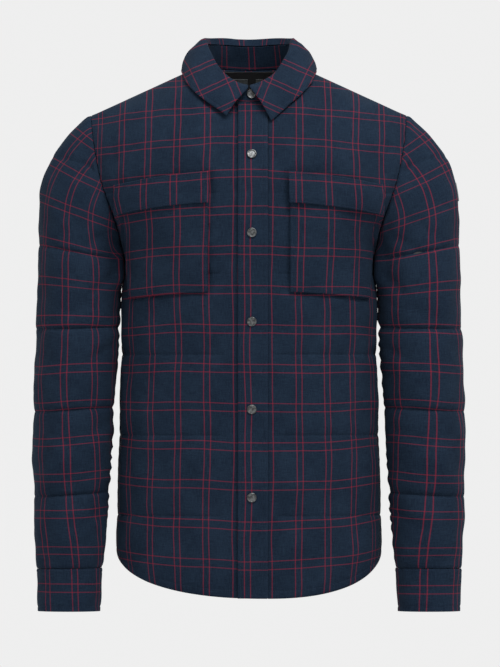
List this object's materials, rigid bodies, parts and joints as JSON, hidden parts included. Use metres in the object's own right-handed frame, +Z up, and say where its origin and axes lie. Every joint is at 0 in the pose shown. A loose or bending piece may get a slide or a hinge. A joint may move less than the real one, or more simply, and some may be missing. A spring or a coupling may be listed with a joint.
{
  "type": "quilted shirt jacket",
  "caption": "Padded check overshirt with a turn-down collar, snap placket, two flap pockets and plain cuffs, filled out with its sleeves hanging.",
  "frame": {"origin": "the middle of the shoulder line inside the neck, where shoulders or a hanger carry the garment", "axes": "+Z up towards the collar, -Y out of the garment's front, +X towards the wearer's left"},
  "size_m": [0.631, 0.2644, 0.8339],
  "materials": {
    "check_cloth": "matte brushed twill",
    "lining": "smooth black lining",
    "woven_tape": "woven grey tape",
    "gunmetal": "satin gunmetal"
  },
  "bodies": {
    "root": {"back": "check_cloth", "back_lining": "lining", "collar_fall": "check_cloth", "collar_stand": "check_cloth", "cuff_left": "check_cloth", "cuff_right": "check_cloth", "flap_left": "check_cloth", "flap_right": "check_cloth", "front_left": "check_cloth", "front_right": "check_cloth", "neck_label": "woven_tape", "placket": "check_cloth", "pocket_left": "check_cloth", "pocket_right": "check_cloth", "size_tab": "woven_tape", "sleeve_left": "check_cloth", "sleeve_right": "check_cloth", "sleeve_tab": "woven_tape", "snap_1": "gunmetal", "snap_2": "gunmetal", "snap_3": "gunmetal", "snap_4": "gunmetal", "snap_5": "gunmetal", "snap_collar": "gunmetal"}
  },
  "joints": []
}
